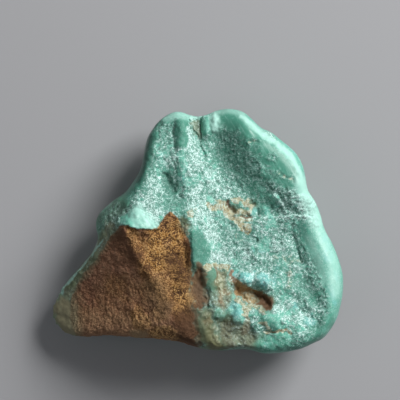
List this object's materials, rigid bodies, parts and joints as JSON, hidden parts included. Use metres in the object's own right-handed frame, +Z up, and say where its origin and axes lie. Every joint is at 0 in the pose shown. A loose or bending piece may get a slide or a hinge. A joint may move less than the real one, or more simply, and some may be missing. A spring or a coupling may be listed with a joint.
{
  "type": "raw turquoise nugget",
  "caption": "Raw turquoise stone with a broken, pocketed front face, a worn rind and brown matrix at one corner, lying on its back.",
  "frame": {"origin": "on the surface the stone rests on, under the middle of its bounding box", "axes": "+X along the longest extent from the brown tip to the worn rim, +Y towards the two top lobes, +Z up out of the broken front face"},
  "size_m": [0.05, 0.0418, 0.0166],
  "materials": {
    "turquoise_stone": "waxy worn turquoise rind, sugary broken turquoise and gritty brown matrix"
  },
  "bodies": {
    "root": {"nugget": "turquoise_stone"}
  },
  "joints": []
}
